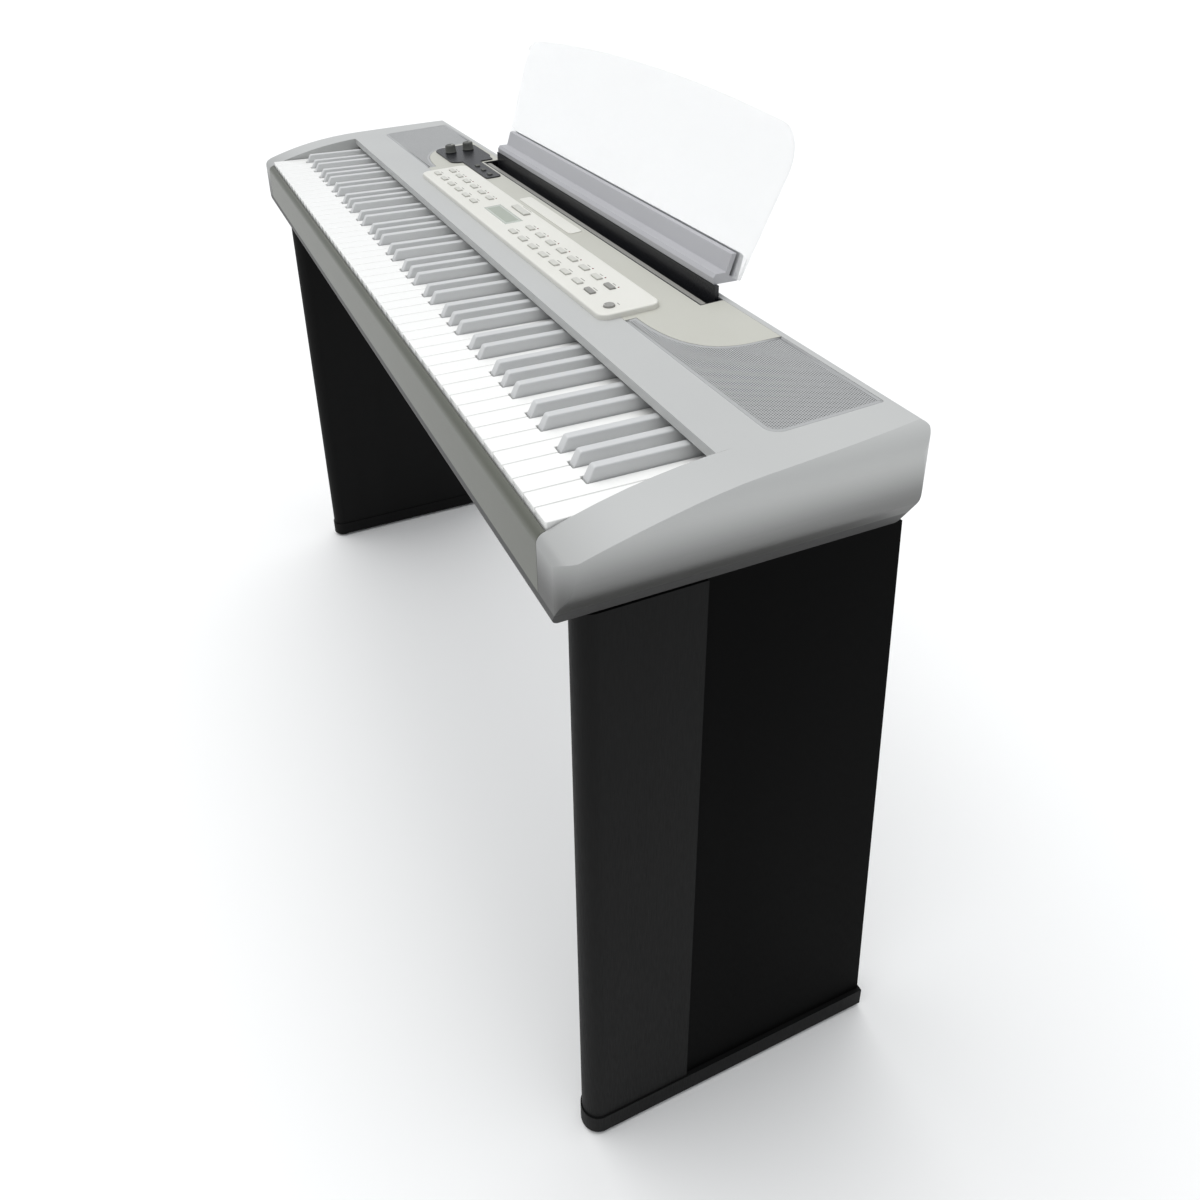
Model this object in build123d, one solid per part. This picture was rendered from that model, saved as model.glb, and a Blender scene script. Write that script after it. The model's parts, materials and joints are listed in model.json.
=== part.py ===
"""Digital piano with 88 keys on a two-legged board stand, as separate pieces.

Millimetres, +Z up, +X to the treble end, +Y to the back. The model is drawn with Y measured from
the white keys' front edge, and every piece is moved into the shared frame when it is written: its
origin is on the floor, under the centre of the whole object's box.
"""
from build123d import *
import os
from math import cos, radians, sin, tan

# ---- keyboard -------------------------------------------------------------------------------
KEY_PITCH = 23.5  # one white key and its gap
WHITE_KEYS = 52
KEY_GAP = 0.9  # between two white keys
KEY_TOP = 737.0  # top of the white keys above the floor
KEY_BOTTOM = 717.0
PIVOT_Y = 222.0  # the keys turn on a rod near their back ends
PIVOT_R = 3.0
PIVOT_CLEAR = 0.3
KEY_BACK = 228.0
NOSE_Y = 51.0  # front of the black keys
BLACK_TOP = 749.0
BLACK_HALF = 5.5  # half width at the foot
BLACK_TOP_HALF = 4.7
BLACK_SIDE_GAP = 1.0
CAP_END_Y = 166.0  # behind this a black key is a low tail under the case
TAIL_TOP = 738.0
# Where each black key's middle stands, in white keys from its octave's C.
BLACK_AT = {"c_sharp": 0.93, "d_sharp": 2.07, "f_sharp": 3.87, "g_sharp": 5.0, "a_sharp": 6.13}
WHITE_NAMES = ["c", "d", "e", "f", "g", "a", "b"]
MIDDLE_OCTAVE = 4

# ---- case -----------------------------------------------------------------------------------
CASE_HALF = 664.0  # half its length
CASE_FRONT = -9.0
CASE_BACK = 314.0
CASE_BOTTOM = 660.0
DECK_TILT = 3.0  # degrees, the top deck falls towards the player
DECK_FRONT = 158.0  # the deck is flat behind here and curves down to the player in front
DECK_BACK_Z = 770.8
NOSE_Z = 728.0  # height of the cheeks' front corner before it is rounded
PART_Z = 678.0  # upper and lower case meet here
WALL = 3.0
WELL_HALF = 612.3  # half the width of the key well between the cheeks
LIP_Y = 142.0  # the case starts again behind the visible keys
LIP_T = 4.0
LIP_BOTTOM = 752.0
SLIP_HALF = 611.8
SLIP_BACK = -1.5
WINDOW_X, WINDOW_Z = (-560.0, -400.0), (688.0, 712.0)  # for the sockets, in the back wall

# ---- deck, along its own slope ----------------------------------------------------------------
OPEN_HALF = 611.0
OPEN_FRONT, OPEN_BACK = 194.0, 304.0
OPEN_R = 14.0
SEAM = 0.3
LEDGE = 6.0
DECK_T = 3.0
CENTRE_X = 15.0  # the control panel and the music rest sit a little to the treble side
PANEL_HALF = 321.0
PANEL_FRONT, PANEL_BACK = 172.0, 242.0
PANEL_T = 6.0
PANEL_R = 12.0
PANEL_EDGE = 2.0
CEILING = 2.0  # the panel's skin over its pockets
CAP_W, CAP_D = 18.0, 7.0
CAP_PROUD = 1.8
CAP_CLEAR = 0.4
ROWS = (191.0, 214.0)
BANKS = {"left": (-290.0, 6), "right": (28.0, 8)}  # first cap's left edge and caps in a row
CAP_PITCH = 33.0
LCD = (-38.0, 205.0, 84.0, 24.0)
ROCKER = (-38.0, 230.0, 46.0, 9.0)
POWER = (316.0, 191.0, 6.0)
TONGUE_CAPS = (-300.0, -272.0, -244.0)
TONGUE_V = 259.0
MIXER_T = 2.0
KNOB_X = -405.0
KNOBS = {"volume_knob": 250.0, "balance_knob": 279.0}
KNOB_R, KNOB_H = 9.0, 12.0
SHAFT_R = 3.0
WELL_LEFT, WELL_RIGHT = -322.0, 352.0
TROUGH_FRONT, TROUGH_BACK, TROUGH_DEPTH = 277.0, 303.5, 14.0
TROUGH_WALL = 1.5
SPEAKER = (533.0, 256.0, 38.0)
SWEEP = ((345, 207), (413, 207), (455, 226), (456, 276))  # the bend between grille and deck
GRILLE_SLOTS, SLOT_W, SLOT_PITCH, SLOT_L = 11, 2.2, 7.0, 96.0

# ---- music rest -------------------------------------------------------------------------------
REST_HALF = 326.0
REST_LEAN = 19.0  # degrees back from upright
FOOT_Y = (296.8, 301.2)
LEDGE_Y = (297.0, 317.0)
LEDGE_Z = (784.0, 795.0)
UPRIGHT_T, UPRIGHT_H = 5.0, 19.0
SHEET_T = 4.0
SHEET_H = 171.0  # along the slope, at the middle of its arched top
SHEET_SIDE_H = 154.0
SHEET_CORNER = 40.0
SHEET_FOOT_HALF = 342.0  # the sheet stands out past both ends of its bar
SHEET_FLARE = 24.0  # each side leans out by this much

# ---- stand ------------------------------------------------------------------------------------
LEG_OUT, LEG_IN = 634.0, 600.0
FLOOR = -20.0  # on the drawing's scale of heights; save() makes it Z = 0
LEG_FRONT, STILE_BACK = 14.0, 128.0
LEG_BACK_TOP, LEG_BACK_FOOT = 322.0, 356.0  # the back edge runs out towards the floor
GLIDE_TOP = FLOOR + 5
PLINTH_TOP = FLOOR + 28
PLINTH_PROUD = 1.5
INSET_T, INSET_SINK = 5.0, 3.0
STRETCH_Y = (284.0, 302.0)
STRETCH_Z = (560.0, 650.0)
BRACKET_Y = (60.0, 230.0)
BRACKET_W, BRACKET_T, BRACKET_L = 56.0, 4.0, 60.0
BOLT_R, BOLT_HOLE = 2.9, 3.3
GLIDE_R = 13.0

TILT = radians(DECK_TILT)
LEAN = radians(REST_LEAN)
SHEET_FOOT = (LEDGE_Y[1], LEDGE_Z[1])
REST_BACK = SHEET_FOOT[0] + SHEET_H * sin(LEAN) + SHEET_T * cos(LEAN)
KEY_LINE_Y = -(CASE_FRONT + REST_BACK) / 2  # puts the middle of the whole depth at Y = 0


def block(x, y, z):
    """A box from its low and high X, Y and Z."""
    size = [high - low for low, high in (x, y, z)]
    middle = [(high + low) / 2 for low, high in (x, y, z)]
    return Pos(*middle) * Box(*size)


def rod_x(radius, x, y, z):
    """A round bar along X."""
    return Pos((x[0] + x[1]) / 2, y, z) * Rot(0, 90, 0) * Cylinder(radius, x[1] - x[0])


def rod_y(radius, x, y, z):
    """A round bar along Y."""
    return Pos(x, (y[0] + y[1]) / 2, z) * Rot(90, 0, 0) * Cylinder(radius, y[1] - y[0])


def rod_z(radius, x, y, z):
    """A round bar along Z."""
    return Pos(x, y, (z[0] + z[1]) / 2) * Cylinder(radius, z[1] - z[0])


def deck_z(y):
    """Height of the deck's plane at a distance from the key fronts."""
    return DECK_BACK_Z - (CASE_BACK - y) * tan(TILT)


def on_deck(shape):
    """Takes a shape drawn flat, with the deck as Z = 0, onto the sloping deck."""
    return Pos(0, 0, deck_z(0)) * Rot(DECK_TILT, 0, 0) * shape


def group(shapes):
    """Several separate solids in one node."""
    return Compound([solid for shape in shapes for solid in shape.solids()])


def in_zones(body, zones):
    """A moulding as touching solids, one for each zone it passes through."""
    return group(body & zone for zone in zones)


def save(name, shape):
    """Moves a piece's solids into the shared frame and writes them."""
    placed = [Pos(0, KEY_LINE_Y, -FLOOR) * solid for solid in shape.solids()]
    export_step(placed[0] if len(placed) == 1 else Compound(placed), f"parts/{name}.step")


def rounded(face, corners):
    """Rounds the corners of a face that lie at the given points: (x, y, radius)."""
    for x, y, radius in corners:
        near = face.vertices().sort_by_distance(Vector(x, y, 0))[0]
        face = fillet(near, radius)
    return face


# ---- case -------------------------------------------------------------------------------------
def side_view():
    """The case seen from the end, drawn with x as Y and y as Z: a flat deck, an arched cheek."""
    front_of_deck = (DECK_FRONT, deck_z(DECK_FRONT))
    arch = TangentArc(front_of_deck, (CASE_FRONT, NOSE_Z), tangent=(-cos(TILT), -sin(TILT)))
    sides = Polyline(
        (CASE_FRONT, NOSE_Z), (CASE_FRONT, CASE_BOTTOM), (CASE_BACK, CASE_BOTTOM),
        (CASE_BACK, DECK_BACK_Z), front_of_deck)
    face = make_face(arch.edges() + sides.edges())
    return rounded(face, [(CASE_FRONT, NOSE_Z, 9), (CASE_FRONT, CASE_BOTTOM, 13),
                          (CASE_BACK, CASE_BOTTOM, 6), (CASE_BACK, DECK_BACK_Z, 6)])


def front_view():
    """The case seen from the front, drawn with x as X and y as Z: sides that turn under."""
    top, waist, foot = DECK_BACK_Z + 1.2, (CASE_HALF - 4, 702), (CASE_HALF - 32, CASE_BOTTOM)
    right = [foot, waist, (CASE_HALF, 744), (CASE_HALF, top)]
    left = [(-x, z) for x, z in reversed(right)]
    face = make_face(Polyline(*right, *left, close=True))
    corners = []
    for side in (-1, 1):
        corners += [(side * waist[0], waist[1], 42), (side * CASE_HALF, top, 24)]
        corners += [(side * foot[0], foot[1], 5)]
    return rounded(face, corners)


def top_view():
    """The case seen from above: a long rectangle, rounder at the player's side."""
    face = make_face(Polyline((-CASE_HALF, CASE_FRONT), (CASE_HALF, CASE_FRONT),
                              (CASE_HALF, CASE_BACK), (-CASE_HALF, CASE_BACK), close=True))
    corners = [(side * CASE_HALF, CASE_FRONT, 20) for side in (-1, 1)]
    corners += [(side * CASE_HALF, CASE_BACK, 12) for side in (-1, 1)]
    return rounded(face, corners)


def case_solid(inset):
    """The case's outer form, or its inside when it is moved in by a wall's thickness."""
    views = [side_view(), front_view(), top_view()]
    if inset:
        views = [offset(view, -inset, kind=Kind.INTERSECTION) for view in views]
    reach = CASE_HALF + 10
    side = extrude(Plane.YZ * views[0], reach, both=True)
    front = extrude(Plane.XZ * views[1], reach, both=True)
    top = extrude(views[2], 900)
    return side & front & top


def opening(gap):
    """The deck's opening in the upper case, made smaller by a gap, as a flat face."""
    half, front, back = OPEN_HALF - gap, OPEN_FRONT + gap, OPEN_BACK - gap
    face = make_face(Polyline((-half, front), (half, front), (half, back), (-half, back), close=True))
    corners = [(side * half, front, OPEN_R) for side in (-1, 1)]
    corners += [(side * half, back, 3) for side in (-1, 1)]
    return rounded(face, corners)


def plate(face, low, high):
    """A flat face made into a plate between two heights."""
    return Pos(0, 0, low) * extrude(face, high - low)


def jack_window():
    """The window for the sockets in the back wall."""
    return block(WINDOW_X, (300, 320), WINDOW_Z)


def upper_zones():
    """Cheeks, the band behind the keys, and the back wall around the trough and the sockets."""
    inner, middle, behind = OPEN_HALF - LEDGE - 1, OPEN_FRONT, 250
    x0, x1, (low, high) = *WINDOW_X, WINDOW_Z
    trough = (WELL_LEFT - 2, WELL_RIGHT + 2)
    zones = []
    for side in (-1, 1):
        front, back = sorted((side * WELL_HALF, side * 700)), sorted((side * inner, side * 700))
        zones += [block(front, (-50, middle), (600, 900)), block(back, (middle, 400), (600, 900))]
    zones.append(block((-WELL_HALF, WELL_HALF), (-50, middle), (600, 900))
                 + block((-inner, inner), (middle, behind), (600, 900)))
    for x in ((-inner, trough[0]), trough, (trough[1], inner)):
        zones.append(block(x, (behind, 400), (high, 900)))
    for x in ((-inner, x0), (x1, inner)):
        zones.append(block(x, (behind, 400), (600, high)))
    return zones + [block((x0, x1), (behind, 400), (600, low))]


def upper_case(outer, inner):
    """Cheeks, band behind the keys, back wall and the frame around the deck, in one moulding."""
    above = block((-700, 700), (-50, 400), (PART_Z, 900))
    shell = (outer - inner) & above
    shell -= block((-WELL_HALF, WELL_HALF), (-50, LIP_Y), (600, 900))
    for side in (-1, 1):
        x = sorted((side * WELL_HALF, side * (WELL_HALF + WALL)))
        shell += outer & block(x, (-50, LIP_Y + LIP_T), (PART_Z, 900))
    shell += outer & block((-WELL_HALF, WELL_HALF), (LIP_Y, LIP_Y + LIP_T), (LIP_BOTTOM, 900))
    shelf = plate(opening(-8) - opening(LEDGE), -2 * DECK_T, -DECK_T)
    shell += on_deck(shelf & block((-700, 700), (0, 308), (-20, 20)))
    shell -= on_deck(plate(opening(0), -DECK_T, 20))
    shell -= on_deck(block((WELL_LEFT - 2, WELL_RIGHT + 2), (TROUGH_FRONT - 2, 305), (-20, -1)))
    return in_zones(shell - jack_window(), upper_zones())


def boss_places():
    """Where the lower case's posts hold the key frame up."""
    return [(x, y) for x in (-540, -180, 180, 540) for y in (40, 200)]


def bracket_places():
    """The middle of each stand bracket, and the side of the stand that it is on."""
    return [(side, y) for side in (-1, 1) for y in BRACKET_Y]


def insert_places():
    """Where the stand's bolts enter the bottom of the case."""
    x = LEG_IN - BRACKET_L / 2 - 8
    return [(side * x, y + step) for side, y in bracket_places() for step in (-16, 16)]


def lower_zones():
    """The tray's floor, its two ends, and the front and back strips between them."""
    floor, end = CASE_BOTTOM + WALL, 600
    zones = [block((-700, 700), (-50, 400), (600, floor))]
    zones += [block(x, (-50, 400), (floor, 700)) for x in ((-700, -end), (end, 700))]
    return zones + [block((-end, end), y, (floor, 700)) for y in ((-50, 120), (120, 400))]


def lower_case(outer, inner):
    """The bottom tray, with posts for the key frame and blind bosses for the stand's bolts."""
    tray = (outer - inner) & block((-700, 700), (-50, 400), (600, PART_Z))
    floor = CASE_BOTTOM + WALL
    for x, y in boss_places():
        tray += rod_z(7, x, y, (floor - 1, 672))
        tray -= rod_z(2.2, x, y, (650, 680))
        tray -= rod_z(4.5, x, y, (650, CASE_BOTTOM + 2))
    for x, y in insert_places():
        tray += rod_z(7, x, y, (floor - 1, 669.5))
        tray -= rod_z(BOLT_HOLE, x, y, (650, 668))
    return in_zones(tray, lower_zones())


def key_slip(outer):
    """The long rail in front of the keys."""
    return outer & block((-SLIP_HALF, SLIP_HALF), (-50, SLIP_BACK), (PART_Z, 900))


def grille_zone(gap):
    """The sweep that parts the right grille from the deck, as a flat face."""
    bend = [(x - gap, y + gap) for x, y in SWEEP[:3]] + [(SWEEP[3][0], SWEEP[3][1])]
    edge = Polyline(bend[3], (460 - gap, 320), (640, 320), (640, 180), (bend[0][0], 180), bend[0])
    return make_face(Bezier(*bend).edges() + edge.edges())


def grille():
    """The right speaker grille: a thin plate with slots over its speaker."""
    body = plate(opening(SEAM) & grille_zone(0), -DECK_T, 0)
    for i in range(GRILLE_SLOTS):
        v = SPEAKER[1] + (i - (GRILLE_SLOTS - 1) / 2) * SLOT_PITCH
        body -= block((SPEAKER[0] - SLOT_L / 2, SPEAKER[0] + SLOT_L / 2),
                      (v - SLOT_W / 2, v + SLOT_W / 2), (-9, 9))
    return on_deck(body)


def mirrored(shape):
    """The same piece at the bass end."""
    return mirror(shape, Plane.YZ)


def speaker():
    """A small speaker hung under its grille: flange, cone basket and magnet."""
    x, v, radius = SPEAKER
    flange = rod_z(radius, x, v, (-11, -3.2))
    basket = Pos(x, v, -20.5) * Cone(20, radius - 2, 19)
    magnet = rod_z(20, x, v, (-44, -30))
    return on_deck(flange + basket + magnet)


def deck_panel():
    """The middle of the deck, between the two grilles."""
    zones = grille_zone(SEAM)
    face = opening(SEAM) - zones - mirror(zones, Plane.YZ)
    body = plate(face, -DECK_T, 0)
    body -= block((WELL_LEFT - SEAM, WELL_RIGHT + SEAM), (TROUGH_FRONT - SEAM, 320), (-9, 9))
    for v in KNOBS.values():
        body -= rod_z(SHAFT_R + 0.6, KNOB_X, v, (-9, 9))
    for x in TONGUE_CAPS:
        body -= block((x - 6, x + 6), (TONGUE_V - 4, TONGUE_V + 4), (-9, 9))
    left, right = WELL_LEFT - SEAM, WELL_RIGHT + SEAM
    zones = [block(x, (180, 320), (-9, 9)) for x in ((-700, left), (left, right), (right, 700))]
    return group(on_deck(solid) for solid in in_zones(body, zones).solids())


# ---- controls ---------------------------------------------------------------------------------
def cap_places(side):
    """The middle of each button cap in a bank."""
    left, count = BANKS[side]
    return [(left + CAP_W / 2 + i * CAP_PITCH, v) for i in range(count) for v in ROWS]


def bank_strip(side, grow):
    """The outline of a bank's comb under the panel's skin, as low and high X and V."""
    left, count = BANKS[side]
    right = left + (count - 1) * CAP_PITCH + CAP_W
    return (left - 4 - grow, right + 4 + grow), (ROWS[0] - 7 - grow, ROWS[1] + 7 + grow)


def control_panel():
    """The raised pale panel with pockets and windows for what sits in it."""
    left, right = CENTRE_X - PANEL_HALF, CENTRE_X + PANEL_HALF
    face = make_face(Polyline((left, PANEL_FRONT), (right, PANEL_FRONT), (right, PANEL_BACK),
                              (left, PANEL_BACK), close=True))
    face = fillet(face.vertices(), PANEL_R)
    body = plate(face, 0, PANEL_T)
    body = fillet(body.faces().sort_by(Axis.Z)[-1].edges(), PANEL_EDGE)
    pocket = (-1, PANEL_T - CEILING)
    for side in BANKS:
        x, v = bank_strip(side, 0.6)
        body -= block(x, v, pocket)
        for cx, cv in cap_places(side):
            body -= block((cx - CAP_W / 2 - CAP_CLEAR, cx + CAP_W / 2 + CAP_CLEAR),
                          (cv - CAP_D / 2 - CAP_CLEAR, cv + CAP_D / 2 + CAP_CLEAR), (-1, 9))
    x, v, width, depth = LCD
    body -= block((x - width / 2, x + width / 2), (v - depth / 2, v + depth / 2), (PANEL_T - 1.6, 9))
    body -= block((x - width / 2 + 4, x + width / 2 - 4), (v - depth / 2 + 3, v + depth / 2 - 3), (-1, 9))
    x, v, width, depth = ROCKER
    body -= block((x - width / 2 - 0.6, x + width / 2 + 0.6),
                  (v - depth / 2 - 0.6, v + depth / 2 + 0.6), (-1, 9))
    x, v, radius = POWER
    body -= rod_z(radius + CAP_CLEAR, x, v, (-1, 9)) + rod_z(radius + 2, x, v, pocket)
    return on_deck(body)


def button_bank(side):
    """One moulded comb: a thin strip in the pocket with all its caps standing through the skin."""
    x, v = bank_strip(side, 0)
    top = PANEL_T - CEILING - 0.3
    body = block(x, v, (top - 1, top))
    for cx, cv in cap_places(side):
        body += block((cx - CAP_W / 2, cx + CAP_W / 2), (cv - CAP_D / 2, cv + CAP_D / 2),
                      (top - 0.5, PANEL_T + CAP_PROUD))
    return on_deck(body)


def power_button():
    """A round push button with a flange under the panel's skin."""
    x, v, radius = POWER
    top = PANEL_T - CEILING - 0.3
    return on_deck(rod_z(radius, x, v, (top - 1, PANEL_T + 2.2)) + rod_z(radius + 1.4, x, v, (top - 1, top)))


def menu_rocker():
    """A long rocker that tips left or right about the middle."""
    x, v, width, depth = ROCKER
    body = block((x - width / 2, x + width / 2), (v - depth / 2, v + depth / 2), (2.6, PANEL_T + 2))
    return on_deck(body - Pos(x, v, PANEL_T + 23.4) * Rot(90, 0, 0) * Cylinder(22, 40))


def mixer_plate():
    """The dark plate around the knobs, with a tongue towards the music rest."""
    block_face = make_face(Polyline((-442, 232), (-340, 232), (-340, 298), (-442, 298), close=True))
    block_face = fillet(block_face.vertices(), 16)
    tongue = make_face(Polyline((-370, 248), (-228, 248), (-228, 272), (-328, 272), (-328, 294),
                                (-370, 294), close=True))
    tongue = rounded(tongue, [(-228, 248, 6), (-228, 272, 6), (-328, 272, 6), (-328, 294, 3)])
    body = plate(block_face + tongue, 0, MIXER_T)
    body = fillet(body.faces().sort_by(Axis.Z)[-1].edges(), 0.6)
    for v in KNOBS.values():
        body -= rod_z(SHAFT_R + 0.4, KNOB_X, v, (-1, 9))
    for x in TONGUE_CAPS:
        body -= block((x - 5.4, x + 5.4), (TONGUE_V - 3.4, TONGUE_V + 3.4), (-1, 9))
    return on_deck(body)


def knob(v):
    """A round knob on a shaft that goes down through the deck to its potentiometer."""
    cap = Pos(KNOB_X, v, MIXER_T + 0.5 + KNOB_H / 2) * Cone(KNOB_R, KNOB_R - 1.2, KNOB_H)
    top = MIXER_T + KNOB_H
    mark = block((KNOB_X - 0.7, KNOB_X + 0.7), (v, v + KNOB_R), (top - 0.3, top + 2))
    return on_deck(cap - mark + rod_z(SHAFT_R, KNOB_X, v, (-11, MIXER_T + 1)))


def mixer_buttons():
    """Three small keys on the tongue."""
    return group(on_deck(block((x - 5, x + 5), (TONGUE_V - 3, TONGUE_V + 3), (-5, MIXER_T + 1.8)))
                 for x in TONGUE_CAPS)


def lcd_lens():
    """The display's clear window, flush with the panel."""
    x, v, width, depth = LCD
    gap = 0.2
    lens = block((x - width / 2 + gap, x + width / 2 - gap),
                 (v - depth / 2 + gap, v + depth / 2 - gap), (PANEL_T - 1.6, PANEL_T))
    return on_deck(lens)


def circuit_boards():
    """Main board, key contact board, contact sheets, display and potentiometers."""
    main = block((-500, -250), (240, 300), (690, 691.6))
    chips = block((-420, -380), (255, 285), (691.6, 695)) + block((-330, -300), (260, 285), (691.6, 694))
    contacts = block((-600, 600), (100, 150), (690, 691.6))
    parts = [main + chips, contacts]
    for side in BANKS:
        x, v = bank_strip(side, 0)
        parts.append(on_deck(block(x, v, (0, 0.8))))
    x, v, width, depth = LCD
    parts.append(on_deck(block((x - width / 2 + 4.3, x + width / 2 - 4.3),
                               (v - depth / 2 + 3.3, v + depth / 2 - 3.3), (0, PANEL_T - 1.6))))
    for v in KNOBS.values():
        can = block((KNOB_X - 8, KNOB_X + 8), (v - 8, v + 8), (-14, -4))
        parts.append(on_deck(can - rod_z(SHAFT_R + 0.06, KNOB_X, v, (-12, 0))))
    return group(parts)


# ---- sockets ----------------------------------------------------------------------------------
JACK_X = (-540, -515, -490, -465, -430)  # headphones twice, pedal, line out, power
FACE_SEAMS = (-566, -527.5, -502.5, -477.5, -447.5, -394)  # between the sockets' square faces
JACK_Z = 700.0


def jacks():
    """Five sockets, each with a blind bore and a square face; the faces fill the window."""
    low, high = (z + step for z, step in zip(WINDOW_Z, (-4, 4)))
    solids = []
    for x, left, right in zip(JACK_X, FACE_SEAMS, FACE_SEAMS[1:]):
        bore = 2.75 if x == JACK_X[-1] else 3.2
        body = rod_y(5.5, x, (292, 313), JACK_Z) + block((x - 8, x + 8), (284, 298), (692, 708))
        body += block((left + 0.1, right - 0.1), (308, 311), (low, high))
        solids.append(body - rod_y(bore, x, (299, 320), JACK_Z))
    return group(solids)


# ---- keys -------------------------------------------------------------------------------------
def white_x(index):
    """Middle of a white key, counted from the lowest one."""
    return (index - (WHITE_KEYS - 1) / 2) * KEY_PITCH


def octave_start(octave):
    """Index of an octave's C among the white keys; the lowest whole octave is the first."""
    return 2 + 7 * (octave - 1)


def black_places(octave):
    """Name and middle of each black key in an octave; octave 0 has only its last one."""
    left = (octave_start(octave) - WHITE_KEYS / 2) * KEY_PITCH
    names = BLACK_AT if octave else ["a_sharp"]
    return [(name, left + BLACK_AT[name] * KEY_PITCH) for name in names]


BLACK_X = [x for octave in range(8) for _, x in black_places(octave)]


def pivot_notch(x):
    """The half-round notch that rests on the pivot rod."""
    return rod_x(PIVOT_R + PIVOT_CLEAR, (x - 20, x + 20), PIVOT_Y, KEY_BOTTOM)


def white_key(index):
    """A white key with its front corners eased and room cut for the black keys beside it."""
    x = white_x(index)
    half = (KEY_PITCH - KEY_GAP) / 2
    face = make_face(Polyline((x - half, 0), (x + half, 0), (x + half, KEY_BACK), (x - half, KEY_BACK),
                              close=True))
    face = rounded(face, [(x - half, 0, 1.2), (x + half, 0, 1.2)])
    body = plate(face, KEY_BOTTOM, KEY_TOP)
    room = BLACK_HALF + BLACK_SIDE_GAP
    for black in BLACK_X:
        if abs(black - x) < half + room:
            body -= block((black - room, black + room), (NOSE_Y - 1.5, 300), (600, 900))
    return body - pivot_notch(x)


def black_key(x):
    """A black key: narrower at the top, its nose sloped, its tail low under the case."""
    waist = KEY_TOP - 1
    section = make_face(Polyline(
        (x - BLACK_HALF, KEY_BOTTOM), (x + BLACK_HALF, KEY_BOTTOM), (x + BLACK_HALF, waist),
        (x + BLACK_TOP_HALF, BLACK_TOP), (x - BLACK_TOP_HALF, BLACK_TOP), (x - BLACK_HALF, waist),
        close=True))
    bar = extrude(Plane.XZ * section, -KEY_BACK) & block((x - 9, x + 9), (NOSE_Y, KEY_BACK), (600, 900))
    above, bend = BLACK_TOP + 5, NOSE_Y + 6.5
    slope = Plane.YZ * make_face(Polyline((NOSE_Y - 1, waist), (NOSE_Y, waist), (bend, BLACK_TOP),
                                          (bend, above), (NOSE_Y - 1, above), close=True))
    bar -= Pos(x, 0, 0) * extrude(slope, 20, both=True)
    bar -= block((x - 9, x + 9), (CAP_END_Y, 300), (TAIL_TOP, 900))
    return bar - pivot_notch(x)


def save_keys():
    """The middle octave key by key, the others as one node of white and one of black keys."""
    for octave in range(1, 8):
        first = octave_start(octave)
        whites = {name: white_key(first + i) for i, name in enumerate(WHITE_NAMES)}
        blacks = {name: black_key(x) for name, x in black_places(octave)}
        if octave == MIDDLE_OCTAVE:
            for name, key in {**whites, **blacks}.items():
                save(f"key_{name}_{octave}", key)
            continue
        whites, blacks = list(whites.values()), list(blacks.values())
        if octave == 1:
            whites = [white_key(0), white_key(1)] + whites
            blacks = [black_key(x) for _, x in black_places(0)] + blacks
        if octave == 7:
            whites.append(white_key(WHITE_KEYS - 1))
        save(f"white_keys_{octave}", group(whites))
        save(f"black_keys_{octave}", group(blacks))


def key_chassis():
    """The folded steel frame under the keys, with the pivot rod along its back."""
    frame = block((-606, 606), (10, 236), (672, 675))
    frame += block((-606, 606), (10, 30), (675, 698))
    frame += block((-606, 606), (214, 230), (675, 712))
    frame += block((-606, 606), (PIVOT_Y - 1, PIVOT_Y + 1), (711, 716))
    frame += rod_x(PIVOT_R, (-606, 606), PIVOT_Y, KEY_BOTTOM)
    for x, y in boss_places():
        frame -= rod_z(2.2, x, y, (660, 695))
    return frame


def key_felts():
    """Felt strips: one that the pressed keys land on, one that hides the gap under the case lip."""
    landing = block((-605, 605), (12, 28), (698, 707))
    dust = block((-611, 611), (LIP_Y + LIP_T + 1, LIP_Y + LIP_T + 5), (752.5, 758))
    return group([landing, dust])


def case_screws():
    """Countersunk screws that hold the key frame down on its posts."""
    head, shank = (CASE_BOTTOM + 0.2, CASE_BOTTOM + 2), (CASE_BOTTOM + 1, 677)
    return group(rod_z(4, x, y, head) + rod_z(1.9, x, y, shank) for x, y in boss_places())


# ---- music rest -------------------------------------------------------------------------------
def rest_well():
    """The black trough in the deck that the rest's foot stands in: a floor and four walls."""
    (left, right), (front, back) = (WELL_LEFT, WELL_RIGHT), (TROUGH_FRONT, TROUGH_BACK)
    floor, wall = (-TROUGH_DEPTH, TROUGH_WALL - TROUGH_DEPTH), (TROUGH_WALL - TROUGH_DEPTH, 0)
    parts = [block((left, right), (front, back), floor)]
    inner = (left + TROUGH_WALL, right - TROUGH_WALL)
    parts += [block(x, (front, back), wall) for x in ((left, inner[0]), (inner[1], right))]
    parts += [block(inner, y, wall) for y in ((front, front + TROUGH_WALL), (back - TROUGH_WALL, back))]
    return group(on_deck(part) for part in parts)


def rest_foot():
    """The black tongue that plugs the rest into the trough."""
    low = deck_z(TROUGH_BACK) - TROUGH_DEPTH + TROUGH_WALL + 0.5
    half = REST_HALF + 5
    return block((CENTRE_X - half, CENTRE_X + half), FOOT_Y, (low, LEDGE_Z[0]))


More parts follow.
